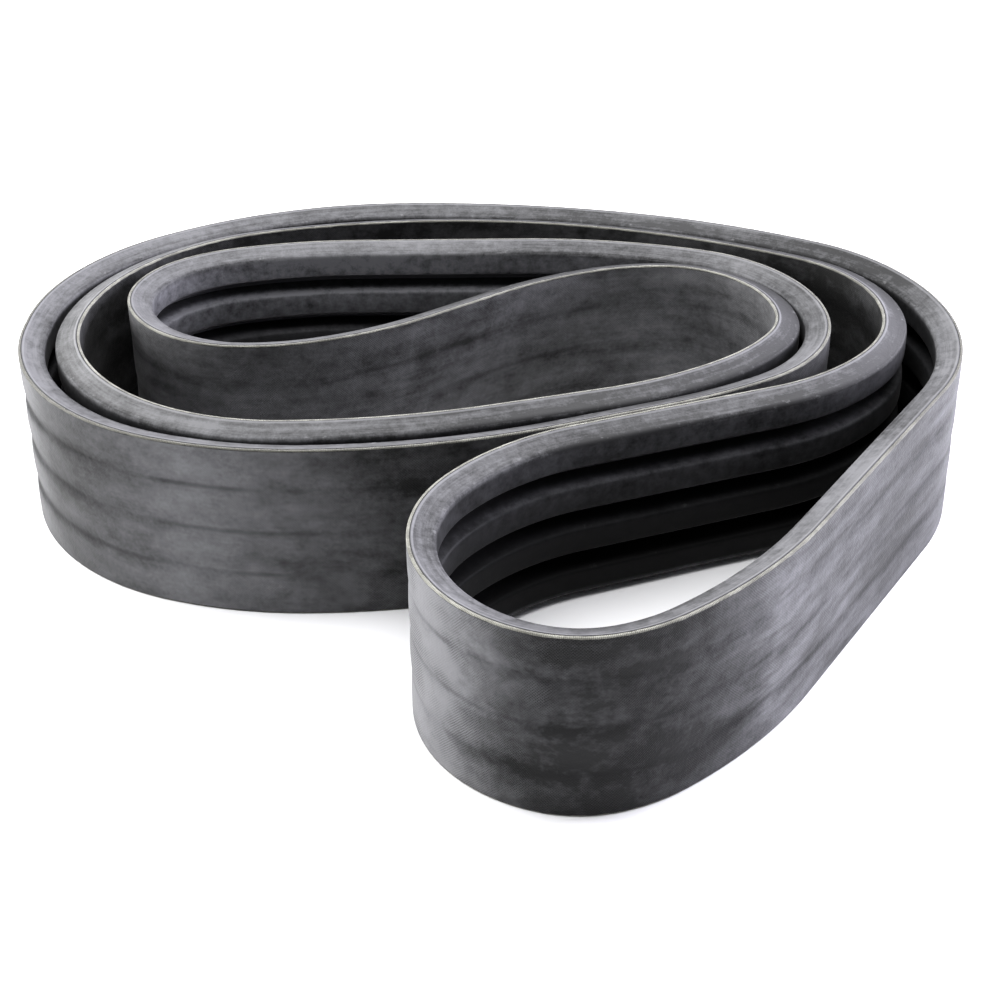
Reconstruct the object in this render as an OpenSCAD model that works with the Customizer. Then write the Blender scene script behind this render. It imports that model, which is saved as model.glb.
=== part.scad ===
// Banded V-belt with four ribs, standing on its edge in a storage coil.
// Each ply is swept along one closed route of tangent arcs and straights.
// The route is the flat back of the belt; the ribs lie to its right.

/* [Ribs] */
// Distance between neighbouring rib centres
rib_pitch = 25.4; // [25:0.1:26]
// Width of a rib where it meets the tie band
rib_top_w = 22.2; // [21:0.1:23]
// Height of a rib below the tie band
rib_h = 11.8; // [10.5:0.1:11.9]
// Angle of each flank away from the rib's middle plane
flank_angle = 20; // [17:0.5:21]
// Radius of the rounded crest edges
crest_r = 1.5; // [1:0.1:2]

/* [Tie band] */
// Thickness of the woven ply on the flat back
outer_ply_t = 1.6; // [1.2:0.05:1.6]
// Thickness of the rubber between the two woven plies
skim_t = 0.4; // [0.3:0.05:0.4]
// Thickness of the woven ply against the ribs
inner_ply_t = 0.4; // [0.3:0.05:0.4]

/* [Rib plies] */
// Thickness of the fabric jacket wrapped round each rib
jacket_t = 0.9; // [0.7:0.1:1.1]
// Thickness of the cushion rubber above the cords
cushion_t = 1.4; // [1.2:0.1:1.6]
// Thickness of the layer of tensile cords
cord_t = 1.7; // [1.5:0.1:1.8]
// Thickness of the adhesion gum below the cords
gum_t = 0.9; // [0.8:0.1:1.2]

/* [Hidden] */

// Layers, as depths from the flat back towards the rib crests
skim_depth = outer_ply_t;
inner_ply_depth = skim_depth + skim_t;
band_t = inner_ply_depth + inner_ply_t;
cushion_depth = band_t + jacket_t;
cord_depth = cushion_depth + cushion_t;
gum_depth = cord_depth + cord_t;
core_depth = gum_depth + gum_t;
belt_t = band_t + rib_h;
core_end = belt_t - jacket_t;
rib_count = 4;
belt_w = (rib_count - 1) * rib_pitch + rib_top_w;
crest_steps = 2;

// ---------- Route ----------
// Headings are whole degrees. Each stands for the exact direction of a right triangle with whole
// sides (7-24-25, 44-117-125, 336-527-625 or 3-4-5), so the arcs meet on exact coordinates.
HEADINGS = [0, 16, 21, 33, 37, 53, 57, 69, 74];
DIRECTIONS = [
  [1, 0], [24 / 25, 7 / 25], [117 / 125, 44 / 125], [527 / 625, 336 / 625], [4 / 5, 3 / 5],
  [3 / 5, 4 / 5], [336 / 625, 527 / 625], [44 / 125, 117 / 125], [7 / 25, 24 / 25]
];
// The coil's two level runs, along +Y at its left end and along +X at its back, take up what is
// left when the arcs are laid end to end, so the loop always closes.
start_heading = 90;
start_point = [-263.412, 65.868];

// Rows are [radius, heading at the end of the arc], or [0, length] for a straight.
// A falling heading turns the belt right, with the ribs inside the bend.
OUTER_TO_INNER = [
  // outermost strand, round the left end and along the back
  [150, 37], [250, 0], [532.5, -16], [417.5, -33],
  // round the right end and straight on towards the front loop
  [115, -53], [150, -123], [0, 155],
  // the front loop, and straight back to the right
  [280, -143], [92.5, -164], [65, -201], [85, -233], [90, -307], [145, -339], [0, 112.5],
  // reversed bend at the right, ribs outside
  [125, -307], [90, -270], [85, -233], [75, -213],
  // second strand, along the back and round the left end
  [417.5, -196], [387.5, -164], [130, -90], [112.5, -74],
  // second strand, along the front
  [125, 0], [395, 16], [0, 57.5],
  // innermost bend at the right
  [210, 37], [117.5, 57], [50, 90], [67.5, 143], [57.5, 180], [117.5, 201], [212.5, 217], [0, 50],
  // sweep across to the left and round the inner loop
  [200, 196], [135, 180], [77.5, 111], [62.5, 37], [97.5, 16], [262.5, 0]
];
INNER_TO_OUTER = [
  // third strand, round the right end
  [312.5, -21], [95, -53], [105, -90], [92.5, -147], [302.5, -159], [0, 60],
  // along the front, back to back with the front loop, and up the left end
  [377.5, -180], [217.5, -201], [142.5, -270]
];

function quarter_turned(v, quarters) =
  quarters == 0 ? v : quarter_turned([-v[1], v[0]], quarters - 1);
function direction(heading) =
  let (quarters = floor(heading / 90), rest = heading - 90 * quarters)
  quarter_turned(DIRECTIONS[search(rest, HEADINGS)[0]], ((quarters % 4) + 4) % 4);
function right_of(heading) = [direction(heading)[1], -direction(heading)[0]];
// +1 where a row turns right, -1 where it turns left
function turn_side(row, heading) = row[1] < heading ? 1 : -1;
// Displacement over one row, and the heading after it
function row_step(row, heading) =
  row[0] == 0 ? row[1] * direction(heading)
  : turn_side(row, heading) * row[0] * (right_of(heading) - right_of(row[1]));
function next_heading(row, heading) = row[0] == 0 ? heading : row[1];
function displacement(rows, heading, i = 0) =
  i == len(rows) ? [0, 0]
  : row_step(rows[i], heading) + displacement(rows, next_heading(rows[i], heading), i + 1);

shortfall = -displacement(OUTER_TO_INNER, start_heading) - displacement(INNER_TO_OUTER, 0);
ROUTE = concat([[0, shortfall[1]]], OUTER_TO_INNER, [[0, shortfall[0]]], INNER_TO_OUTER);
// Each stretch is [start point, start heading, row]
function stretches(rows, point, heading, i = 0) =
  i == len(rows) ? []
  : concat(
      [[point, heading, rows[i]]],
      stretches(rows, point + row_step(rows[i], heading), next_heading(rows[i], heading), i + 1)
    );
STRETCHES = stretches(ROUTE, start_point, start_heading);

// Arcs are revolved a little long and trimmed by a wedge whose sides run along the exact headings
overrun = 8;
wedge_reach = 1000;
arc_fn = 180;

function angle_of(v) = atan2(v[1], v[0]);

module straight_stretch(point, heading, length) {
  translate([point[0], point[1], 0])
    multmatrix([
      [right_of(heading)[0], 0, -direction(heading)[0], 0],
      [right_of(heading)[1], 0, -direction(heading)[1], 0],
      [0, 1, 0, 0]
    ])
      mirror([0, 0, 1])
        linear_extrude(height = length) children();
}

module arc_stretch(point, heading, radius, end_heading) {
  side = end_heading < heading ? 1 : -1;
  centre = point + side * radius * right_of(heading);
  from = -side * right_of(heading);
  to = -side * right_of(end_heading);
  first = side > 0 ? to : from;
  last = side > 0 ? from : to;
  sweep = (angle_of(last) - angle_of(first) + 360) % 360;
  translate([centre[0], centre[1], 0]) intersection() {
    rotate_extrude(angle = sweep + 2 * overrun, start = angle_of(first) - overrun, $fn = arc_fn)
      translate([radius, 0])
        mirror([side > 0 ? 1 : 0, 0]) children();
    translate([0, 0, -belt_w / 2])
      linear_extrude(height = 2 * belt_w)
        polygon([[0, 0], wedge_reach * first, wedge_reach * (first + last), wedge_reach * last]);
  }
}

// Sweeps a flat section, with X as depth from the back and Y as height, along the whole route
module along_route() {
  for (s = STRETCHES)
    if (s[2][0] == 0)
      straight_stretch(s[0], s[1], s[2][1]) children();
    else
      arc_stretch(s[0], s[1], s[2][0], s[2][1]) children();
}

// ---------- Sections ----------
function rib_middle(rib) = rib_top_w / 2 + (rib - 1) * rib_pitch;
// Half width of a rib at a depth, less a skin of the given thickness
function half_width(depth, skin) =
  rib_top_w / 2 - (depth - band_t) * tan(flank_angle) - skin / cos(flank_angle);
// Points of one crest edge's round, from the crest face to the flank
function crest_round(sign) =
  let (
    span = 90 - flank_angle,
    middle = [belt_t - crest_r, half_width(belt_t, 0) - crest_r * tan(span / 2)]
  )
  [
    for (k = [0 : crest_steps])
      let (a = span * (sign > 0 ? k : crest_steps - k) / crest_steps)
      [middle[0] + crest_r * cos(a), sign * (middle[1] + crest_r * sin(a))]
  ];

module band_layer(depth, thickness) {
  along_route()
    translate([depth, 0]) square([thickness, belt_w]);
}

module rib_layer_section(depth, end_depth) {
  polygon([
    [depth, -half_width(depth, jacket_t)],
    [end_depth, -half_width(end_depth, jacket_t)],
    [end_depth, half_width(end_depth, jacket_t)],
    [depth, half_width(depth, jacket_t)]
  ]);
}

module jacket(rib) {
  color("#4b4b54")
    along_route()
      translate([0, rib_middle(rib)]) difference() {
        polygon(concat(
          [[band_t, -half_width(band_t, 0)]],
          crest_round(-1),
          crest_round(1),
          [[band_t, half_width(band_t, 0)]]
        ));
        rib_layer_section(cushion_depth, core_end);
      }
}

module rib_layer(rib, depth, end_depth) {
  along_route()
    translate([0, rib_middle(rib)]) rib_layer_section(depth, end_depth);
}

module cushion_rubber(rib) {
  color("#26262a") rib_layer(rib, cushion_depth, cord_depth);
}

module tensile_cords(rib) {
  color("#cbbf9a") rib_layer(rib, cord_depth, gum_depth);
}

module adhesion_gum(rib) {
  color("#3a3531") rib_layer(rib, gum_depth, core_depth);
}

module core_rubber(rib) {
  color("#1f1f22") rib_layer(rib, core_depth, core_end);
}

// ---------- Sub-parts ----------
module tie_band_outer_ply() {
  color("#55555f") band_layer(0, outer_ply_t);
}

module tie_band_skim_rubber() {
  color("#1c1c1f") band_layer(skim_depth, skim_t);
}

module tie_band_inner_ply() {
  color("#45454c") band_layer(inner_ply_depth, inner_ply_t);
}

module rib_1_jacket() { jacket(1); }
module rib_1_cushion_rubber() { cushion_rubber(1); }
module rib_1_tensile_cords() { tensile_cords(1); }
module rib_1_adhesion_gum() { adhesion_gum(1); }
module rib_1_core_rubber() { core_rubber(1); }
module rib_2_jacket() { jacket(2); }
module rib_2_cushion_rubber() { cushion_rubber(2); }
module rib_2_tensile_cords() { tensile_cords(2); }
module rib_2_adhesion_gum() { adhesion_gum(2); }
module rib_2_core_rubber() { core_rubber(2); }
module rib_3_jacket() { jacket(3); }
module rib_3_cushion_rubber() { cushion_rubber(3); }
module rib_3_tensile_cords() { tensile_cords(3); }
module rib_3_adhesion_gum() { adhesion_gum(3); }
module rib_3_core_rubber() { core_rubber(3); }
module rib_4_jacket() { jacket(4); }
module rib_4_cushion_rubber() { cushion_rubber(4); }
module rib_4_tensile_cords() { tensile_cords(4); }
module rib_4_adhesion_gum() { adhesion_gum(4); }
module rib_4_core_rubber() { core_rubber(4); }

tie_band_outer_ply();
tie_band_skim_rubber();
tie_band_inner_ply();
rib_1_jacket();
rib_1_cushion_rubber();
rib_1_tensile_cords();
rib_1_adhesion_gum();
rib_1_core_rubber();
rib_2_jacket();
rib_2_cushion_rubber();
rib_2_tensile_cords();
rib_2_adhesion_gum();
rib_2_core_rubber();
rib_3_jacket();
rib_3_cushion_rubber();
rib_3_tensile_cords();
rib_3_adhesion_gum();
rib_3_core_rubber();
rib_4_jacket();
rib_4_cushion_rubber();
rib_4_tensile_cords();
rib_4_adhesion_gum();
rib_4_core_rubber();
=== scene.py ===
"""The looks of a banded V-belt that stands on its edge in a storage coil."""
import math

import bpy
import numpy as np
from mathutils import Matrix, Vector


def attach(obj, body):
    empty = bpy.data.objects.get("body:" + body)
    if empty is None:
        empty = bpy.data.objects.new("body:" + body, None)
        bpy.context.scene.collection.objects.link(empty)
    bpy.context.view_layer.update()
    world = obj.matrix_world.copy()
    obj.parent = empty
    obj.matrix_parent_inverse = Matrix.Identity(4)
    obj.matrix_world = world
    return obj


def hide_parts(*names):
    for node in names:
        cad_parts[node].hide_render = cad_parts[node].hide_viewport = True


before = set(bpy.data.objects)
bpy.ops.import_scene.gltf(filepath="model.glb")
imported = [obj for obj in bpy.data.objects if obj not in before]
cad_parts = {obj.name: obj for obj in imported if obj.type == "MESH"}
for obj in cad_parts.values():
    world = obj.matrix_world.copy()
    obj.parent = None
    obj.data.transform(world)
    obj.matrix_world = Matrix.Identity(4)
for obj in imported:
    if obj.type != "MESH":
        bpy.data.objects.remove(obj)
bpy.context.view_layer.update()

MM = 0.001
SHARP_ANGLE = math.radians(50)

# ---------- The belt's route, as part.scad lays it out (mm) ----------
# Rows are (radius, heading at the end of the arc), or (0, length) for a straight.
# A falling heading turns the belt right, with the ribs inside the bend.
# A fitting program found nearly all the radii and lengths, from a trace of the photograph.
START = (-263.412, 65.868)
START_HEADING = 90
OUTER_TO_INNER = [
    # outermost strand, round the left end and along the back
    (150, 37), (250, 0), (532.5, -16), (417.5, -33),
    # round the right end and straight on towards the front loop
    (115, -53), (150, -123), (0, 155),
    # the front loop, and straight back to the right
    (280, -143), (92.5, -164), (65, -201), (85, -233), (90, -307), (145, -339), (0, 112.5),
    # reversed bend at the right, ribs outside
    (125, -307), (90, -270), (85, -233), (75, -213),
    # second strand, along the back and round the left end
    (417.5, -196), (387.5, -164), (130, -90), (112.5, -74),
    # second strand, along the front
    (125, 0), (395, 16), (0, 57.5),
    # innermost bend at the right
    (210, 37), (117.5, 57), (50, 90), (67.5, 143), (57.5, 180), (117.5, 201), (212.5, 217), (0, 50),
    # sweep across to the left and round the inner loop
    (200, 196), (135, 180), (77.5, 111), (62.5, 37), (97.5, 16), (262.5, 0),
]
INNER_TO_OUTER = [
    # third strand, round the right end
    (312.5, -21), (95, -53), (105, -90), (92.5, -147), (302.5, -159), (0, 60),
    # along the front, back to back with the front loop, and up the left end
    (377.5, -180), (217.5, -201), (142.5, -270),
]
# Whole-degree headings stand for the directions of these right triangles
TRIANGLES = {0: (1, 0), 16: (24, 7), 21: (117, 44), 33: (527, 336), 37: (4, 3),
             53: (3, 4), 57: (336, 527), 69: (44, 117), 74: (7, 24)}
STATION_STEP = 3.0

# ---------- The belt's section (mm), depth from the flat back, height from the floor ----------
RIBS = 4
RIB_PITCH = 25.4
RIB_TOP_W = 22.2
RIB_H = 11.8
FLANK = math.radians(20)
OUTER_PLY_T = 1.6
SKIM_T = 0.4
INNER_PLY_T = 0.4
BAND_T = OUTER_PLY_T + SKIM_T + INNER_PLY_T
BELT_T = BAND_T + RIB_H
BELT_W = (RIBS - 1) * RIB_PITCH + RIB_TOP_W
JACKET_T = 0.9
CREST_R = 2.1


# ---------- Route ----------
def exact_heading(degrees):
    """Radians of the triangle direction that a whole-degree heading stands for."""
    quarter, rest = divmod(degrees, 90)
    along, across = TRIANGLES[rest]
    return quarter * math.pi / 2 + math.atan2(across, along)


def unit(angle):
    return np.array([math.cos(angle), math.sin(angle)])


def right_of(direction):
    return np.stack([direction[..., 1], -direction[..., 0]], -1)


def walk(rows, point, heading, step=STATION_STEP):
    """Points and headings along the rows, without the last point, and where the rows end."""
    points, headings = [], []
    point = np.array(point, float)
    for radius, target in rows:
        if radius == 0:
            count = max(1, round(abs(target) / step))
            along = np.linspace(0, target, count, endpoint=False)
            points.append(point + along[:, None] * unit(heading))
            headings.append(np.full(count, heading))
            point = point + target * unit(heading)
            continue
        end = exact_heading(target)
        side = 1 if end < heading else -1
        count = max(2, round(radius * abs(end - heading) / step))
        turn = np.linspace(heading, end, count, endpoint=False)
        centre = point + side * radius * right_of(unit(heading))
        tangents = np.stack([np.cos(turn), np.sin(turn)], 1)
        points.append(centre - side * radius * right_of(tangents))
        headings.append(turn)
        point = centre - side * radius * right_of(unit(end))
        heading = end
    return np.vstack(points), np.concatenate(headings), point, heading


def closed_route():
    """Stations of the flat back: points, right-hand normals and distances run, all in mm."""
    start = np.array(START)
    heading = exact_heading(START_HEADING)
    gap = np.zeros(2)
    for rows, begin in ((OUTER_TO_INNER, heading), (INNER_TO_OUTER, 0.0)):
        gap -= walk(rows, (0, 0), begin)[2]
    rows = [(0, gap[1])] + OUTER_TO_INNER + [(0, gap[0])] + INNER_TO_OUTER
    points, headings, _, _ = walk(rows, start, heading)
    normals = right_of(np.stack([np.cos(headings), np.sin(headings)], 1))
    legs = np.linalg.norm(np.roll(points, -1, 0) - points, axis=1)
    run = np.concatenate([[0], np.cumsum(legs)])
    return points, normals, run


POINTS, NORMALS, RUN = closed_route()
LENGTH = RUN[-1]
STATIONS = len(POINTS)


def periodic(run, longest, shortest, seed, terms=14):
    """A smooth wander of about unit size along the belt, which closes on itself."""
    dice = np.random.default_rng(seed)
    low = max(1, round(LENGTH / longest))
    high = max(low + 1, round(LENGTH / shortest))
    waves = dice.integers(low, high + 1, terms)
    phases = dice.uniform(0, 2 * math.pi, terms)
    total = sum(np.cos(2 * math.pi * k * run / LENGTH + p) for k, p in zip(waves, phases))
    return total * math.sqrt(2 / terms)


# ---------- How the belt's look changes along it ----------
# Each row is (distance run in mm, value), with straight lines between the rows.
# The back's and the outer flanks' dust tables are a program's answers, rounded: it compared greys in
# renders with the photograph's, so besides dust they hold painted light and shade.
# Share of pale dust on the back, with painted light and shade mixed in; its peak near 1215 is a painted
# highlight
BACK_DUST_AND_PAINTED_LIGHT = [
    (0, 0.30), (300, 0.42), (600, 0.40), (780, 0.32), (806, 0.23), (832, 0.12), (860, 0.17),
    (890, 0.27), (921, 0.38), (950, 0.31), (975, 0.50), (995, 0.72), (1020, 0.29), (1049, 0.08),
    (1080, 0.05), (1121, 0.06), (1135, 0.16), (1150, 0.40), (1166, 0.72), (1184, 1.06), (1200, 1.45),
    (1215, 1.90), (1228, 1.60), (1270, 0.50), (1400, 0.30), (1660, 0.08), (2000, 0.10), (2181, 0.04),
    (2500, 0.20), (2774, 0.45), (2810, 0.62), (2850, 0.41), (2950, 0.29), (3020, 0.37), (3070, 0.34),
    (3104, 0.44), (3300, 0.25), (3700, 0.20), (3850, 0.10), (4005, 0.14), (4035, 0.33), (4059, 0.53),
    (4085, 0.72), (4113, 0.79), (4140, 0.46), (4161, 0.30), (4185, 0.14), (4208, 0.12), (4230, 0.32),
    (4250, 0.26),
]
# Share of pale dust on the ribs' outer flanks, with painted light and shade mixed in; below 0 they are also
# dull
FLANK_DUST_AND_PAINTED_LIGHT = [
    (0, 0.60), (60, 0.72), (150, 0.66), (240, 0.28), (330, 0.46), (420, 0.06), (480, 0.24), (540, 0.04),
    (600, -0.06), (640, -0.02), (720, 0.72), (780, 0.58), (840, 0.15), (900, 1.10), (960, 0.62),
    (1020, 0.52), (1090, 0.28), (1180, 0.42), (1246, 0.16), (1290, 0.52), (1330, 0.44), (1375, -0.06),
    (1450, 0.36), (1510, 0.16), (1600, -0.10), (1700, -0.20), (1800, -0.18), (1950, 0.10), (2100, 0.56),
    (2150, 0.74), (2260, 0.32), (2350, 0.54), (2430, 0.42), (2500, 0.02), (2550, 0.12), (2650, 0.10),
    (2750, -0.15), (2900, -0.12), (2980, 0.20), (3120, 0.60), (3190, 0.68), (3260, 0.36), (3330, 0.70),
    (3400, 0.66), (3470, 0.16), (3540, 0.48), (3610, 0.66), (3690, 0.32), (3760, 0.74), (3830, 0.05),
    (3920, 0.10), (4000, 0.34), (4120, 0.40), (4190, 0.48), (4240, 0.64),
]
# Dust settled on the rest of the ribs, with painted light and shade mixed in
CREST_DUST_AND_PAINTED_LIGHT = [
    (0, 0.25), (650, 0.12), (900, 0.06), (1100, 0.12), (1180, 0.10), (1240, 0.10), (1290, 0.16),
    (1388, 0.28), (1700, 0.20), (2100, 0.12), (2600, 0.10), (3050, 0.40), (3185, 0.60), (3354, 0.95),
    (3543, 0.50), (3700, 0.20), (3900, 0.10), (4290, 0.30),
]
# How clean the cut edge's threads are
THREAD_CLEAN = [
    (0, 0.40), (600, 0.25), (850, 0.80), (1000, 1.00), (1400, 1.00), (1600, 0.85), (1900, 0.70),
    (2150, 1.00), (2650, 0.90), (3100, 0.85), (3500, 0.80), (3800, 0.85), (4060, 0.75), (4200, 0.50),
]
# How clearly the ribs bulge through the flat back, in its shape and in painted shade in its dips and
# painted light on its bulges
RIDGES = [
    (0, 0.90), (200, 0.40), (700, 0.30), (832, 0.35), (995, 0.30), (1049, 0.22), (1121, 0.25),
    (1184, 0.45), (1215, 0.70), (1260, 0.60), (1500, 0.30), (2500, 0.30), (3000, 0.10), (3900, 0.20),
    (4035, 0.10), (4085, 0.14), (4113, 0.24), (4161, 0.75), (4208, 1.20), (4250, 1.25),
]
# How strongly the back's dust is smeared lengthwise
SMEARS = [
    (0, 0.2), (600, 0.3), (800, 1.1), (995, 1.1), (1049, 0.5), (1121, 0.2), (1184, 0.15), (1260, 0.3),
    (2774, 0.5), (3104, 0.5), (4000, 0.3), (4113, 0.2), (4208, 0.3),
]
# How clearly the back's weave shows
WOVEN = [
    (0, 0.2), (800, 0.1), (995, 0.2), (1049, 0.7), (1121, 1.2), (1184, 1.1), (1240, 0.7), (1500, 0.5),
    (2774, 0.3), (3104, 0.4), (4000, 0.5), (4113, 0.1),
]


def along(table, run):
    """A table's value at any distances run."""
    return np.interp(run, [at for at, _ in table], [value for _, value in table], period=LENGTH)


# ---------- Mesh making ----------
def mesh_object(name, vertices, faces, uvs, **shares):
    """A smooth-shaded mesh from mm, with its run and girth in metres as the UV map 'run'.

    Each of shares is one value per vertex, kept as an attribute of that name.
    """
    mesh = bpy.data.meshes.new(name)
    mesh.from_pydata((vertices * MM).tolist(), [], faces.tolist())
    layer = mesh.uv_layers.new(name="run")
    layer.data.foreach_set("uv", (uvs * MM).astype(np.float32).ravel())
    for share, values in shares.items():
        mesh.attributes.new(share, "FLOAT", "POINT").data.foreach_set("value", values.astype(np.float32))
    mesh.polygons.foreach_set("use_smooth", np.ones(len(mesh.polygons), bool))
    mesh.update()
    mesh.set_sharp_from_angle(angle=SHARP_ANGLE)
    piece = bpy.data.objects.new(name, mesh)
    bpy.context.scene.collection.objects.link(piece)
    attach(piece, "root")
    return piece


def loft(depth, height, girth, flip=False):
    """Vertices, faces and UVs of a closed section swept round the whole route.

    depth and height are (stations, points) arrays, anticlockwise with depth to the right. girth is
    the distance round the section, with one value more than there are points.
    """
    count = depth.shape[1]
    plan = POINTS[:, None, :] + depth[:, :, None] * NORMALS[:, None, :]
    vertices = np.concatenate([plan, height[:, :, None]], 2).reshape(-1, 3)
    i, j = np.meshgrid(np.arange(STATIONS), np.arange(count), indexing="ij")
    i, j = i.ravel(), j.ravel()
    i_next, j_next = (i + 1) % STATIONS, (j + 1) % count
    corners = [(i, j, i, j), (i_next, j, i + 1, j), (i_next, j_next, i + 1, j + 1), (i, j_next, i, j + 1)]
    if flip:
        corners.reverse()
    faces = np.stack([a * count + b for a, b, _, _ in corners], 1)
    uvs = np.stack([np.stack([RUN[c], girth[d]], 1) for _, _, c, d in corners], 1).reshape(-1, 2)
    return vertices, faces, uvs


def girth_of(depth, height):
    """Distance round a closed section from its first point, with the closing value last."""
    points = np.stack([depth, height], 1)
    legs = np.linalg.norm(np.roll(points, -1, 0) - points, axis=1)
    return np.concatenate([[0], np.cumsum(legs)])


def even_loft(depth, height, flip=False):
    """A loft whose section is the same all round the belt."""
    every = np.ones((STATIONS, 1))
    return loft(depth * every, height * every, girth_of(depth, height), flip)


def join(*parts):
    """Several (vertices, faces, uvs) as one."""
    offset, vertices, faces, uvs = 0, [], [], []
    for v, f, u in parts:
        vertices.append(v)
        faces.append(f + offset)
        uvs.append(u)
        offset += len(v)
    return np.vstack(vertices), np.vstack(faces), np.vstack(uvs)


# ---------- Tie band ----------
GAP_HEIGHTS = [RIB_TOP_W / 2 + (k + 0.5) * RIB_PITCH for k in range(RIBS - 1)]
# The rounding between the cut edge and the back: (distance in from the edge, depth below the back)
EDGE_ROUND = [(0.0, 0.80), (0.10, 0.42), (0.30, 0.20), (0.62, 0.06), (1.1, 0.0), (1.7, 0.0)]
# Faces across each cut edge and its rounding that show the cut cloth
FRAYED = 5
# How far the cut edge's cloth is drawn in (mm)
FRAY = 0.13
BACK_COLUMNS = 46
# The dips between the ribs: a broad one and a narrow one within it, as (depth, half-width)
DIPS = [(0.48, 6.5), (0.30, 1.8)]
# SUNK_HALF_WIDTH is the half-width (mm) of the painted shade in each dip
SUNK_HALF_WIDTH = 5.6
LEAST_SUNK, MOST_SUNK = 0.05, 0.95
# A dip's strength where the ribs do not show through, and what it gains where they show fully
FAINT_DIP, DIP_GAIN = 0.40, 0.95


def hump(away, half_width):
    return np.exp(-(away / half_width) ** 2)


def back_relief(height, run):
    """How far the back sinks (mm): it dips between the ribs and wanders a little."""
    sunk = 0.05 * (1 + periodic(run, 400, 40, 31) * np.sin(height / 9.0))
    for k, middle in enumerate(GAP_HEIGHTS):
        strength = (FAINT_DIP + DIP_GAIN * along(RIDGES, run)) * (1 + 0.3 * periodic(run, 900, 160, 20 + k))
        sunk = sunk + strength * sum(depth * hump(height - middle, width) for depth, width in DIPS)
    return np.clip(sunk, LEAST_SUNK, MOST_SUNK)


def sunk_share(height, run):
    """Painted shade and less shine on the back: 1 in the dips between the ribs, below 0 (painted light) on
    the bulges, fading along the belt.
    """
    lines = sum(hump(height - middle, SUNK_HALF_WIDTH) for middle in GAP_HEIGHTS)
    wander = 1 + 0.35 * periodic(run, 500, 60, 27)
    return (lines - 0.3) * along(RIDGES, run) * wander


def outer_ply(name):
    """The woven outer ply: a bulging back, rounded cut edges, and a flat inner face."""
    body = np.linspace(EDGE_ROUND[-1][0], BELT_W - EDGE_ROUND[-1][0], BACK_COLUMNS)[1:-1]
    edge = [inset for inset, _ in EDGE_ROUND]
    cut = [sunk for _, sunk in EDGE_ROUND]
    # anticlockwise: along the top cut edge, down the back, along the bottom cut edge, up inside
    height = np.concatenate([[BELT_W], BELT_W - np.array(edge), body[::-1], edge[::-1], [0.0]])
    depth = np.concatenate([[OUTER_PLY_T], cut, 0 * body, cut[::-1], [OUTER_PLY_T]])
    on_back = np.ones(len(height))
    on_back[[0, -1]] = 0.0
    run = RUN[:-1, None]
    off_middle = height - BELT_W / 2
    on_edge = np.abs(off_middle) > BELT_W / 2 - 0.05
    fray = FRAY * np.maximum(1 + 0.5 * periodic(run, 60, 7, 61), 0) * on_edge
    sunk = on_back * back_relief(height[None, :], run)
    girth = np.concatenate([height, [height[0]]])
    part = loft(depth[None, :] + sunk, height[None, :] - np.sign(off_middle) * fray, girth)
    count = len(height)
    tables = {"dust_and_painted_light": BACK_DUST_AND_PAINTED_LIGHT, "clean": THREAD_CLEAN, "smeared": SMEARS, "woven": WOVEN}
    shares = {share: np.repeat(along(table, RUN[:-1]), count) for share, table in tables.items()}
    piece = mesh_object(name, *part, sunk=sunk_share(height[None, :], run).ravel(), **shares)
    column = np.tile(np.arange(count), STATIONS)
    frayed = (column <= FRAYED - 1) | ((column >= count - 1 - FRAYED) & (column < count - 1))
    return piece, frayed.astype(np.int32)


def inner_layer(name, near, far, sink):
    """A flat ply behind the back, from depth near to far, with its cut edges set back by sink."""
    height = np.array([BELT_W - sink, sink, sink, BELT_W - sink])
    depth = np.array([near, near, far, far])
    return mesh_object(name, *even_loft(depth, height))


# ---------- Ribs ----------
# How far the jacket is worn at its crest, drawn in on its flanks, and inset from the CAD surface (mm)
WEAR, HOLLOW, INSET = 0.05, 0.16, 0.02


def half_width(depth):
    return RIB_TOP_W / 2 - (depth - BAND_T) * math.tan(FLANK)


def rib_outline():
    """One rib's outer section about its middle: depth, height and rounding weight of each point."""
    span = math.pi / 2 - FLANK
    middle = (BELT_T - CREST_R, half_width(BELT_T) - CREST_R * math.tan(span / 2))
    flank_depths = np.linspace(BAND_T, middle[0] + CREST_R * math.cos(span), 7)[:-1]
    lower = [(d, -half_width(d), 0.0) for d in flank_depths]
    for a in np.linspace(-span, 0, 6):
        lower.append((middle[0] + CREST_R * math.cos(a), -middle[1] + CREST_R * math.sin(a), 1.0))
    crest = [(BELT_T, h, 0.2) for h in np.linspace(-middle[1], middle[1], 7)[1:-1]]
    upper = [(d, -h, w) for d, h, w in reversed(lower)]
    return np.array(lower + crest + upper)


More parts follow.
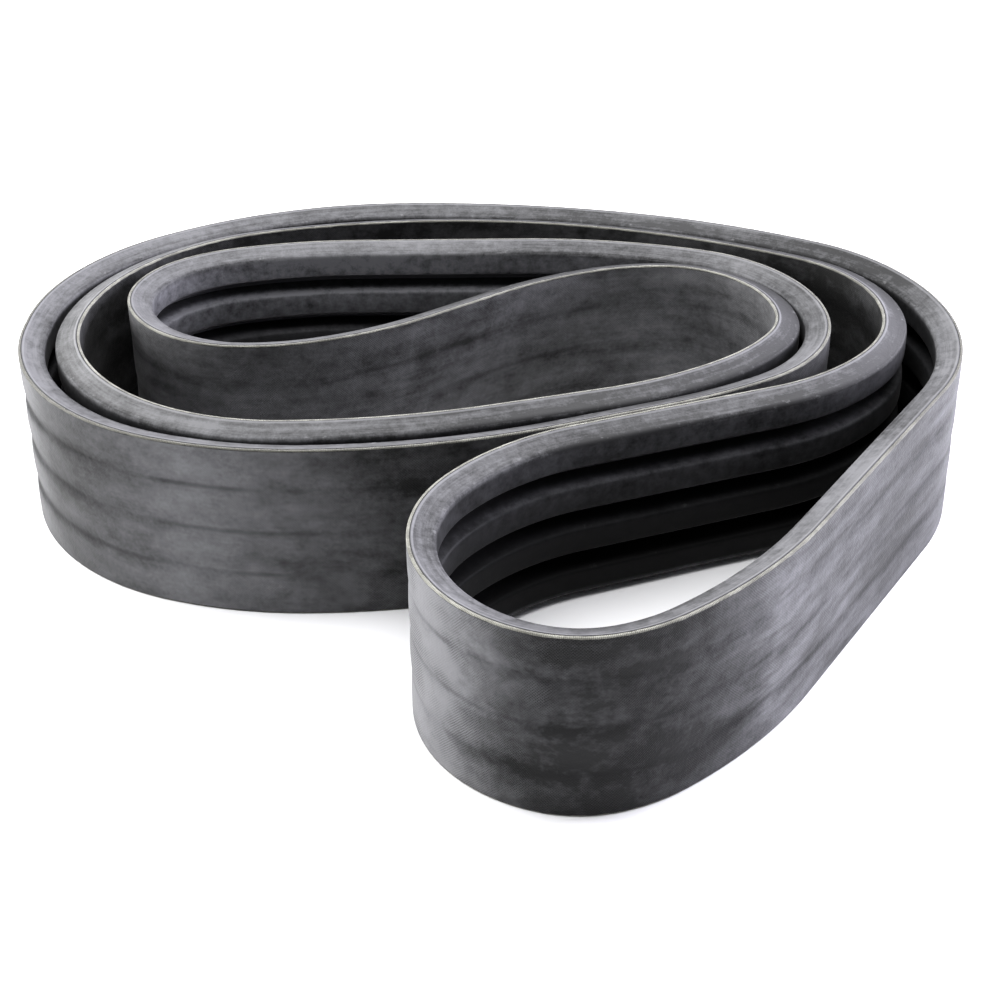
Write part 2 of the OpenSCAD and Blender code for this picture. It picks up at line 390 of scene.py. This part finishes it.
def rib_jacket(name, rib):
    """The wrapped jacket of one rib: its outer surface, and an inner one round the sealed plies."""
    middle = RIB_TOP_W / 2 + (rib - 1) * RIB_PITCH
    run = RUN[:-1, None]
    depth, height, rounding = rib_outline().T
    wear = rounding * WEAR * (1 + 0.5 * periodic(run, 400, 80, 40 + rib))
    swell = HOLLOW * (1 + 0.6 * periodic(run, 300, 60, 70 + rib))
    hollow = swell * np.sin(np.pi * np.clip((depth - BAND_T) / RIB_H, 0, 1)) * (1 - rounding)
    girth = girth_of(depth, height)
    outer = loft(
        depth[None, :] - wear - INSET * rounding,
        middle + np.sign(height) * (np.abs(height) - wear - hollow - INSET),
        girth - girth[:-1].mean(),
    )
    inner_depth = np.array([BAND_T + JACKET_T, BELT_T - JACKET_T, BELT_T - JACKET_T, BAND_T + JACKET_T])
    skin = JACKET_T / math.cos(FLANK)
    inner_height = np.array([-1, -1, 1, 1]) * (half_width(inner_depth) - skin)
    inner = even_loft(inner_depth, middle + inner_height, flip=True)
    shares = {}
    for share, table in (("dust_and_painted_light", FLANK_DUST_AND_PAINTED_LIGHT), ("settled_and_painted_light", CREST_DUST_AND_PAINTED_LIGHT)):
        values = along(table, RUN[:-1])
        shares[share] = np.concatenate([np.repeat(values, len(d)) for d in (depth, inner_depth)])
    return mesh_object(name, *join(outer, inner), **shares)


# ---------- Cut edges ----------
THREAD_PITCH = 0.8
THREAD_SIDES = 5
STUB_LENGTH = 1.1
# Ranges of a stub's lean (run per mm of height), depth (share of the ply), radius and shortfall (mm)
STUB_LEAN, STUB_DEPTH, STUB_RADIUS, STUB_SHORT = (0.15, 0.5), (0.45, 0.92), (0.16, 0.28), (0.0, 0.16)
# Rings of a stub: (distance below its tip in mm, share of its radius)
STUB_RINGS = [(STUB_LENGTH, 1.0), (0.35, 1.05), (0.0, 0.55)]


def frame_at(run):
    """Points and normals of the back at any distances run, between stations."""
    run = np.mod(run, LENGTH)
    i = np.clip(np.searchsorted(RUN, run, side="right") - 1, 0, STATIONS - 1)
    share = ((run - RUN[i]) / (RUN[i + 1] - RUN[i]))[:, None]
    j = (i + 1) % STATIONS
    points = POINTS[i] * (1 - share) + POINTS[j] * share
    normals = NORMALS[i] * (1 - share) + NORMALS[j] * share
    return points, normals / np.linalg.norm(normals, axis=1)[:, None]


def thread_ends(name, top, seed):
    """The cut ends of the outer ply's threads: a row of short stubs, leaning both ways."""
    dice = np.random.default_rng(seed)
    count = int(LENGTH / THREAD_PITCH)
    run = (np.arange(count) + dice.uniform(-0.3, 0.3, count)) * LENGTH / count
    lean = np.where(np.arange(count) % 2, 1, -1) * dice.uniform(*STUB_LEAN, count)
    depth = OUTER_PLY_T * dice.uniform(*STUB_DEPTH, count)
    radius = dice.uniform(*STUB_RADIUS, count)
    tip = dice.uniform(*STUB_SHORT, count)
    angles = np.arange(THREAD_SIDES) * 2 * math.pi / THREAD_SIDES
    vertices = []
    for below, size in STUB_RINGS:
        points, normals = frame_at(run + lean * (STUB_LENGTH - below))
        tangents = np.stack([-normals[:, 1], normals[:, 0]], 1)
        level = BELT_W - tip - below if top else tip + below
        reach = (radius * size)[:, None]
        inward = (depth[:, None] + np.cos(angles) * reach)[:, :, None] * normals[:, None, :]
        sideways = (np.sin(angles) * reach)[:, :, None] * tangents[:, None, :]
        z = np.repeat(level[:, None], THREAD_SIDES, 1)
        vertices.append(np.concatenate([points[:, None, :] + inward + sideways, z[:, :, None]], 2))
    vertices = np.stack(vertices, 1)
    base = np.arange(count)[:, None] * len(STUB_RINGS) * THREAD_SIDES
    k = np.arange(THREAD_SIDES)
    k_next = (k + 1) % THREAD_SIDES
    quads = []
    for ring in range(len(STUB_RINGS) - 1):
        a = base + ring * THREAD_SIDES
        b = a + THREAD_SIDES
        quads.append(np.stack([a + k, a + k_next, b + k_next, b + k], 2).reshape(-1, 4))
    caps = [base + k[::-1], base + (len(STUB_RINGS) - 1) * THREAD_SIDES + k]
    if not top:
        quads = [q[:, ::-1] for q in quads]
        caps = [c[:, ::-1] for c in caps]
    faces = np.vstack(quads).tolist() + np.vstack(caps).tolist()
    mesh = bpy.data.meshes.new(name)
    mesh.from_pydata((vertices.reshape(-1, 3) * MM).tolist(), [], faces)
    mesh.polygons.foreach_set("use_smooth", np.ones(len(faces), bool))
    mesh.update()
    piece = bpy.data.objects.new(name, mesh)
    bpy.context.scene.collection.objects.link(piece)
    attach(piece, "root")
    return piece


# ---------- Shader helpers ----------
class Shader:
    """A material's node tree, built by small calls that return sockets."""

    def __init__(self, name):
        self.material = bpy.data.materials.new(name)
        self.material.use_nodes = True
        self.tree = self.material.node_tree
        self.surface = self.tree.nodes["Principled BSDF"]

    def put(self, socket, value):
        """Link a socket's value, or set it."""
        if isinstance(value, bpy.types.NodeSocket):
            self.tree.links.new(value, socket)
        else:
            socket.default_value = value

    def node(self, kind, inputs=(), **settings):
        node = self.tree.nodes.new(kind)
        for key, value in settings.items():
            setattr(node, key, value)
        for socket, value in dict(inputs).items():
            self.put(node.inputs[socket], value)
        return node

    def math(self, operation, a, b=0.0, clamp=False):
        return self.node("ShaderNodeMath", {0: a, 1: b}, operation=operation, use_clamp=clamp).outputs[0]

    def add(self, a, b, clamp=False):
        return self.math("ADD", a, b, clamp)

    def minus(self, a, b, clamp=False):
        return self.math("SUBTRACT", a, b, clamp)

    def times(self, a, b, clamp=False):
        return self.math("MULTIPLY", a, b, clamp)

    def distance(self, a, b):
        return self.math("ABSOLUTE", self.minus(a, b))

    def scatter(self, base, *patterns):
        """A base value and the swings of some noises about their middle, each with its weight."""
        for pattern, weight in patterns:
            base = self.add(base, self.times(self.minus(pattern, 0.5), weight))
        return base

    def step(self, value, low, high):
        """0 below low, 1 above high, smooth between."""
        inputs = {"Value": value, "From Min": low, "From Max": high}
        return self.node("ShaderNodeMapRange", inputs, interpolation_type="SMOOTHSTEP").outputs[0]

    def mix(self, share, a, b):
        return self.node("ShaderNodeMix", {0: share, 6: a, 7: b}, data_type="RGBA").outputs[2]

    def noise(self, vector, scale, detail=4.0, roughness=0.55):
        inputs = {"Vector": vector, "Scale": scale, "Detail": detail, "Roughness": roughness}
        return self.node("ShaderNodeTexNoise", inputs).outputs["Fac"]

    def parts(self, vector):
        return self.node("ShaderNodeSeparateXYZ", {0: vector}).outputs

    def run_and_girth(self):
        split = self.parts(self.node("ShaderNodeUVMap", uv_map="run").outputs[0])
        return split[0], split[1]

    def rolled(self, run, girth, stretch):
        """The belt rolled into one even ring, so that noise closes on itself; stretch > 1 makes streaks."""
        radius = LENGTH * MM / (2 * math.pi)
        turn = self.math("DIVIDE", run, radius)
        x = self.times(self.math("COSINE", turn), radius)
        y = self.times(self.math("SINE", turn), radius)
        return self.node("ShaderNodeCombineXYZ", {0: x, 1: y, 2: self.times(girth, stretch)}).outputs[0]

    def share(self, name):
        return self.node("ShaderNodeAttribute", attribute_name=name).outputs["Fac"]

    def place(self):
        return self.node("ShaderNodeTexCoord").outputs["Object"]

    def bump(self, height, distance, strength=1.0, under=None):
        inputs = {"Height": height, "Distance": distance, "Strength": strength}
        if under is not None:
            inputs["Normal"] = under
        return self.node("ShaderNodeBump", inputs).outputs[0]

    def finish(self, color, roughness, normal, specular=0.5, sheen=0.0):
        values = {
            "Base Color": color,
            "Roughness": roughness,
            "Normal": normal,
            "Specular IOR Level": specular,
            "Sheen Weight": sheen,
            "Sheen Roughness": SHEEN_ROUGHNESS,
        }
        for name, value in values.items():
            self.put(self.surface.inputs[name], value)
        return self.material


def grey(value, blue=1.0):
    """A grey, with its blue raised or lowered."""
    return (value, value, value * blue, 1.0)


# ---------- Materials ----------
SHEEN_ROUGHNESS = 0.45
BACK_DARK, BACK_PALE = 0.009, 0.162
JACKET_DARK, JACKET_PALE = 0.0035, 0.138
# Along the belt (mm). The threads lie at 45 degrees, so the weave's are 1.06 mm apart.
WEAVE_PITCH = 1.5
CUT_THREAD_PITCH = 0.85
# The cut edge's cloth reaches this far on to the back, give or take its ragged end
CUT_REACH = (0.65, 0.95)
# An outer flank is pale to this height below the belt's edge, and black from this one (mm)
FLANK_ENDS, CREST_BEGINS = 4.7, 7.6
# Places on half a rib's section, as girth from the crest's middle (mm)
SHOULDER = 8.2
FLANK_FROM, FLANK_PALEST = 7.8, 15.0
# the painted shade in the grooves begins at the first and is darkest from the second
GROOVE_SHADE_FROM, GROOVE_SHADE_DARKEST = 9.0, 15.0
BAND_LINE_FROM, BAND_LINE_FULL = 17.6, 18.2
SHINE_FROM, SHINE_FULL = 7.0, 10.0
# Dust settles on the ribs from this height above the floor, and fully from this one (mm)
SETTLES_FROM, SETTLES_FULLY = 30, 95


def waves_round(pitch):
    """Radians per metre of a wave with about this pitch (mm), a whole number of times round the belt."""
    return 2 * math.pi * round(LENGTH / pitch) / (LENGTH * MM)


def weave_height(shader, run, girth):
    """Diagonal cloth: two sets of threads at 45 degrees."""
    wave = waves_round(WEAVE_PITCH)
    wander = shader.times(shader.noise(shader.rolled(run, girth, 1.0), 70.0, 3.0), 9.0)
    along_run = shader.add(shader.times(run, wave), wander)
    across = shader.times(girth, wave)
    one = shader.math("SINE", shader.add(along_run, across))
    two = shader.math("SINE", shader.minus(along_run, across))
    return shader.math("MAXIMUM", one, two)


def back_material():
    """Rubberised woven back: charcoal, with a patchy lavender-grey bloom and dark smudges, painted light
    and shade in its dust, painted shade in the dips between the ribs and painted light on the bulges.
    """
    s = Shader("woven_back")
    run, girth = s.run_and_girth()
    dust_and_painted_light, smeared, woven, sunk = (s.share(name) for name in ("dust_and_painted_light", "smeared", "woven", "sunk"))
    clouds = s.noise(s.rolled(run, girth, 1.7), 13.0, 5.0, 0.6)
    streaks = s.noise(s.rolled(run, girth, 9.0), 9.0, 5.0, 0.6)
    blots = s.noise(s.rolled(run, girth, 1.3), 85.0, 4.0, 0.65)
    speckle = s.noise(s.rolled(run, girth, 1.2), 420.0, 2.0, 0.7)
    smudges = s.noise(s.rolled(run, girth, 2.6), 30.0, 5.0, 0.65)
    smears = s.noise(s.rolled(run, girth, 6.0), 24.0, 4.0, 0.6)

    # bloom: patches over the dust, which holds painted light and shade too, fainter where there is little
    # of it, and more mottled on clean weave
    patchy = s.times(s.times(s.minus(smears, 0.5), smeared), 1.7)
    patchy = s.scatter(
        patchy, (clouds, 0.8), (streaks, 0.45), (blots, 0.7), (speckle, 0.45), (smudges, 0.45)
    )
    patch_strength = s.add(0.38, s.times(dust_and_painted_light, 1.1), clamp=True)
    bloom_and_painted_light = s.add(dust_and_painted_light, s.times(patchy, patch_strength))
    mottled = s.minus(s.add(blots, s.times(clouds, 0.8)), 0.9)
    bloom_and_painted_light = s.add(bloom_and_painted_light, s.times(mottled, s.times(woven, 0.50)))
    # painted shade in the dips between the ribs, and painted light on the bulges between them
    dip_shade_bulge_light = s.times(sunk, s.add(0.18, s.times(smudges, 0.30)))
    bloom_and_painted_light = s.minus(bloom_and_painted_light, s.times(dip_shade_bulge_light, patch_strength), clamp=True)
    color = s.mix(bloom_and_painted_light, grey(BACK_DARK, 1.0), grey(BACK_PALE, 1.05))
    smudged = s.times(s.step(smudges, 0.54, 0.74), s.add(0.2, s.times(smeared, 0.25)))
    color = s.mix(smudged, color, grey(BACK_DARK, 1.02))

    # painted shade: thin dark lines where the back dips between two ribs, broken here and there
    dip_shade_lines = 0.0
    for middle in GAP_HEIGHTS:
        near = s.distance(girth, middle * MM)
        dip_shade_lines = s.add(dip_shade_lines, s.minus(1.0, s.step(near, 0.0001, 0.0024)))
    broken = s.step(s.noise(s.rolled(run, girth, 1.0), 17.0, 4.0), 0.38, 0.62)
    color = s.mix(s.times(s.times(dip_shade_lines, broken), 0.42), color, grey(BACK_DARK * 0.4))

    # the weave, clear in some places and filled with rubber in others
    weave = weave_height(s, run, girth)
    shown = s.times(s.step(s.noise(s.rolled(run, girth, 1.3), 27.0, 3.0), 0.35, 0.60), woven)
    gaps = s.times(s.minus(1.0, s.step(weave, -0.2, 0.6)), s.add(0.06, s.times(shown, 0.78)))
    color = s.mix(gaps, color, grey(BACK_DARK * 0.4))
    relief = s.add(s.times(weave, s.add(0.15, shown)), s.times(speckle, 2.6))
    normal = s.bump(relief, 0.00010, 0.9, s.bump(clouds, 0.0016, 0.5))
    roughness = s.add(0.52, s.times(bloom_and_painted_light, 0.14))
    specular = s.math("MAXIMUM", s.minus(0.15, s.times(sunk, 0.20)), 0.02)
    return s.finish(color, roughness, normal, specular, 0.03)


def jacket_material():
    """Rib jacket: black rubber with a rubbed pale bloom, brushed along the belt, painted light and shade in
    its dust, painted shade deep in the grooves and painted highlights on the shoulders.
    """
    s = Shader("rib_jacket")
    run, girth = s.run_and_girth()
    dust_and_painted_light = s.share("dust_and_painted_light")
    height = s.parts(s.place())[2]
    half = BELT_W * MM / 2
    outward = s.distance(height, half)
    flank = s.step(outward, half - CREST_BEGINS * MM, half - FLANK_ENDS * MM)
    off_crest = s.distance(girth, 0.0)
    brushed = s.noise(s.rolled(run, girth, 40.0), 8.0, 6.0, 0.65)
    scratched = s.noise(s.rolled(run, girth, 14.0), 60.0, 4.0, 0.6)
    patches = s.noise(s.rolled(run, girth, 2.5), 22.0, 5.0, 0.62)
    mottle = s.noise(s.place(), 170.0, 4.0, 0.7)
    fine = s.noise(s.place(), 800.0, 2.0, 0.7)

    # the two outer flanks: rubbed pale, most of all next to the band, with painted light and shade from
    # their dust table
    bloom_and_painted_light = s.scatter(dust_and_painted_light, (brushed, 1.4), (scratched, 0.8), (patches, 1.3), (mottle, 1.5), (fine, 0.6))
    bloom_and_painted_light = s.add(bloom_and_painted_light, s.times(s.step(off_crest, FLANK_FROM * MM, FLANK_PALEST * MM), 0.16))
    bloom_and_painted_light = s.minus(bloom_and_painted_light, 0.08, clamp=True)
    pale = s.mix(bloom_and_painted_light, grey(JACKET_PALE * 0.20, 1.03), grey(JACKET_PALE, 1.05))

    # elsewhere the ribs are black near the floor, darkened deep in the grooves by painted shade, and
    # dustier where they face up
    upward = s.parts(s.node("ShaderNodeNewGeometry").outputs["Normal"])[2]
    upward = s.add(1.0, s.times(s.step(upward, 0.3, 0.9), 0.7))
    groove_shade = s.minus(1.0, s.times(s.step(off_crest, GROOVE_SHADE_FROM * MM, GROOVE_SHADE_DARKEST * MM), 0.85))
    settled_and_painted_light = s.times(s.times(upward, groove_shade), s.share("settled_and_painted_light"))
    settled_and_painted_light = s.times(s.step(height, SETTLES_FROM * MM, SETTLES_FULLY * MM), settled_and_painted_light)
    settled_and_painted_light = s.times(settled_and_painted_light, s.scatter(1.0, (mottle, 2.6), (patches, 2.4)), clamp=True)
    dark = s.mix(settled_and_painted_light, grey(JACKET_DARK, 1.04), grey(JACKET_PALE * 0.9, 1.08))
    color = s.mix(flank, dark, pale)

    # small pale spots on the shoulders, partly rubbed scuffs and partly a painted highlight where the
    # rounded shoulder catches light, and a pale line along the band
    shoulder = s.minus(1.0, s.step(s.distance(off_crest, SHOULDER * MM), 0.0004, 0.0020))
    spots = s.times(s.step(s.noise(s.place(), 120.0, 3.0, 0.7), 0.60, 0.70), shoulder)
    scuffs_and_highlight = s.times(spots, s.add(0.06, s.times(flank, 0.34)))
    color = s.mix(scuffs_and_highlight, color, grey(JACKET_PALE * 1.6, 1.03))
    band_line = s.step(off_crest, BAND_LINE_FROM * MM, BAND_LINE_FULL * MM)
    edge_line = s.times(band_line, s.times(flank, 0.45))
    color = s.mix(edge_line, color, grey(JACKET_PALE * 1.7, 1.05))

    roughness = s.add(0.46, s.times(mottle, 0.24))
    relief = s.add(s.add(patches, s.times(mottle, 0.5)), s.times(fine, 0.25))
    # the flanks shine where they were rubbed, and are dull where they stayed black
    shine = s.times(s.step(off_crest, SHINE_FROM * MM, SHINE_FULL * MM), s.step(dust_and_painted_light, -0.3, 0.2))
    specular = s.add(0.06, s.times(s.times(flank, shine), 0.26))
    return s.finish(color, roughness, s.bump(relief, 0.0005, 0.5), specular, 0.02)


def plain_rubber(name, low, high, blue, rough):
    """Matt rubber with a fine grain and slow tone changes."""
    s = Shader(name)
    grain = s.noise(s.place(), 700.0, 3.0, 0.7)
    slow = s.noise(s.place(), 30.0, 3.0)
    color = s.mix(slow, grey(low, blue), grey(high, blue))
    roughness = s.add(rough, s.times(grain, 0.2))
    return s.finish(color, roughness, s.bump(grain, 0.0001, 0.6))


def thread_material():
    """Cream yarn, dirtied with rubber dust in places."""
    s = Shader("cut_threads")
    place = s.place()
    tone = s.noise(place, 700.0, 2.0)
    dirt = s.noise(place, 45.0, 4.0, 0.65)
    color = s.mix(s.step(tone, 0.3, 0.7), (0.15, 0.147, 0.12, 1), (0.36, 0.355, 0.31, 1))
    color = s.mix(s.times(s.step(dirt, 0.52, 0.72), 0.75), color, (0.07, 0.068, 0.06, 1))
    roughness = s.add(0.75, s.times(tone, 0.2))
    return s.finish(color, roughness, s.bump(tone, 0.0001, 0.5))


def cut_cloth_material():
    """The cut edge of the outer ply: cream thread ends side by side, with rubber dust between them."""
    s = Shader("cut_cloth")
    run, girth = s.run_and_girth()
    place = s.rolled(run, girth, 1.0)
    wobble = s.noise(place, 150.0, 3.0)
    phase = s.add(s.times(run, waves_round(CUT_THREAD_PITCH)), s.times(wobble, 9.0))
    ticks = s.math("SINE", phase)
    tone = s.noise(place, 60.0, 4.0, 0.6)
    dirt = s.noise(place, 24.0, 5.0, 0.65)
    color = s.mix(s.step(tone, 0.35, 0.65), (0.15, 0.147, 0.125, 1), (0.33, 0.327, 0.285, 1))
    color = s.mix(s.times(s.step(ticks, 0.0, 0.9), 0.7), color, (0.08, 0.077, 0.065, 1))
    soiled = s.minus(s.add(1.35, s.times(dirt, 1.2)), s.times(s.share("clean"), 1.3))
    color = s.mix(s.times(s.step(soiled, 0.5, 1.2), 0.8), color, (0.075, 0.073, 0.062, 1))
    # it ends in a ragged line where it rounds over on to the back
    half = BELT_W * MM / 2
    inset = s.minus(half, s.distance(girth, half))
    ragged = s.add(inset, s.times(s.minus(wobble, 0.5), 0.0012))
    near, far = CUT_REACH
    color = s.mix(s.step(ragged, near * MM, far * MM), color, grey(BACK_DARK * 0.8))
    roughness = s.add(0.75, s.times(tone, 0.2))
    relief = s.add(ticks, s.times(tone, 2.0))
    return s.finish(color, roughness, s.bump(relief, 0.00012, 0.8), 0.3, 0.2)


def cord_material():
    """Twisted polyester cord, seen only where a rib is cut."""
    s = Shader("tensile_cord")
    wave = s.node("ShaderNodeTexWave", {"Vector": s.place(), "Scale": 260.0, "Distortion": 1.5})
    twist = wave.outputs["Fac"]
    color = s.mix(twist, (0.42, 0.37, 0.25, 1), (0.68, 0.62, 0.46, 1))
    roughness = s.add(0.6, s.times(twist, 0.2))
    return s.finish(color, roughness, s.bump(twist, 0.0002, 0.7))


def give(piece, material):
    piece.data.materials.clear()
    piece.data.materials.append(material)


# ---------- Pieces ----------
woven = back_material()
jacket = jacket_material()
skim_rubber = plain_rubber("skim_rubber", 0.014, 0.030, 1.0, 0.6)
inner_cloth = plain_rubber("inner_ply", 0.05, 0.11, 1.08, 0.5)
core = plain_rubber("core_rubber", 0.01, 0.02, 1.02, 0.6)
cushion = plain_rubber("cushion_rubber", 0.012, 0.024, 1.0, 0.55)
gum = plain_rubber("adhesion_gum", 0.03, 0.05, 0.85, 0.5)
cord = cord_material()
yarn = thread_material()
cut_cloth = cut_cloth_material()


def make_band():
    outer, frayed = outer_ply("band_outer_ply")
    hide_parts("tie_band_outer_ply")
    give(outer, woven)
    outer.data.materials.append(cut_cloth)
    outer.data.polygons.foreach_set("material_index", frayed)
    skim_end = OUTER_PLY_T + SKIM_T
    skim = inner_layer("band_skim_rubber", OUTER_PLY_T, skim_end, sink=0.35)
    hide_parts("tie_band_skim_rubber")
    give(skim, skim_rubber)
    inner = inner_layer("band_inner_ply", skim_end, BAND_T, sink=0.05)
    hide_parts("tie_band_inner_ply")
    give(inner, inner_cloth)
    for name, top, seed in (("cut_threads_top", True, 51), ("cut_threads_bottom", False, 52)):
        threads = thread_ends(name, top, seed)
        give(threads, yarn)


def make_ribs():
    sealed = {"cushion_rubber": cushion, "tensile_cords": cord, "adhesion_gum": gum, "core_rubber": core}
    for rib in range(1, RIBS + 1):
        piece = rib_jacket(f"rib_{rib}_jacket_skin", rib)
        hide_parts(f"rib_{rib}_jacket")
        give(piece, jacket)
        for ply, material in sealed.items():
            give(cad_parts[f"rib_{rib}_{ply}"], material)


# ---------- Stage ----------
FLOOR_HALF = 4.0
FLOOR_CELLS = 16
SOFTBOX_AIM = (0.0, 0.0, 0.05)
# (name, place, target, size, watts, colour)
LIGHTS = [
    ("right_softbox", (1.55, 0.75, 0.50), SOFTBOX_AIM, (1.5, 0.8), 100, (0.995, 0.98, 1.12)),
    ("left_softbox", (-1.55, 0.55, 0.50), SOFTBOX_AIM, (1.5, 0.8), 75, (1.0, 1.0, 1.0)),
    ("top_softbox", (0.0, 0.1, 1.9), (0.0, 0.0, 0.0), (2.0, 1.8), 68, (1.0, 1.0, 1.0)),
]
STUDIO_COLOR = (0.95, 0.96, 1.0, 1)
STUDIO_STRENGTH = 0.22


def make_floor():
    """A pale sheet far wider than the view, with faint marks."""
    ticks = np.linspace(-FLOOR_HALF, FLOOR_HALF, FLOOR_CELLS + 1)
    x, y = np.meshgrid(ticks, ticks)
    vertices = np.stack([x.ravel(), y.ravel(), np.zeros(x.size)], 1)
    row = FLOOR_CELLS + 1
    corners = [r * row + c for r in range(FLOOR_CELLS) for c in range(FLOOR_CELLS)]
    faces = [(k, k + 1, k + row + 1, k + row) for k in corners]
    mesh = bpy.data.meshes.new("floor")
    mesh.from_pydata(vertices.tolist(), [], faces)
    floor = bpy.data.objects.new("floor", mesh)
    bpy.context.scene.collection.objects.link(floor)
    s = Shader("pale_floor")
    mottle = s.noise(s.place(), 6.0, 3.0)
    color = s.mix(mottle, (0.84, 0.84, 0.86, 1), (0.88, 0.88, 0.89, 1))
    roughness = s.add(0.6, s.times(mottle, 0.1))
    give(floor, s.finish(color, roughness, s.bump(mottle, 0.0002, 0.3), 0.3))


def area_light(name, place, target, size, power, color):
    light = bpy.data.lights.new(name, "AREA")
    light.shape = "RECTANGLE"
    light.size, light.size_y = size
    light.energy = power
    light.color = color
    lamp = bpy.data.objects.new(name, light)
    bpy.context.scene.collection.objects.link(lamp)
    lamp.location = place
    lamp.rotation_euler = (Vector(target) - Vector(place)).to_track_quat("-Z", "Y").to_euler()


def make_lights():
    for light in LIGHTS:
        area_light(*light)
    world = bpy.data.worlds.new("studio")
    world.use_nodes = True
    background = world.node_tree.nodes["Background"]
    background.inputs["Color"].default_value = STUDIO_COLOR
    background.inputs["Strength"].default_value = STUDIO_STRENGTH
    bpy.context.scene.world = world


# Place and reach in metres, turns in degrees, lens and sensor in mm
CAMERA_PLACE = (0.0055, -0.8933, 0.5562)
CAMERA_PITCH_DOWN = 30.98
CAMERA_ROLL = -0.53
CAMERA_LENS = 67.3
CAMERA_SENSOR = 36
CAMERA_REACH = 50


def make_camera():
    data = bpy.data.cameras.new("camera")
    data.sensor_width = CAMERA_SENSOR
    data.lens = CAMERA_LENS
    data.clip_end = CAMERA_REACH
    camera = bpy.data.objects.new("camera", data)
    bpy.context.scene.collection.objects.link(camera)
    pitch = Matrix.Rotation(math.radians(90 - CAMERA_PITCH_DOWN), 4, "X")
    roll = Matrix.Rotation(math.radians(CAMERA_ROLL), 4, "Z")
    camera.matrix_world = Matrix.Translation(CAMERA_PLACE) @ pitch @ roll
    bpy.context.scene.camera = camera


make_camera()
make_band()
make_ribs()
make_floor()
make_lights()
bpy.context.scene.view_settings.view_transform = "Standard"
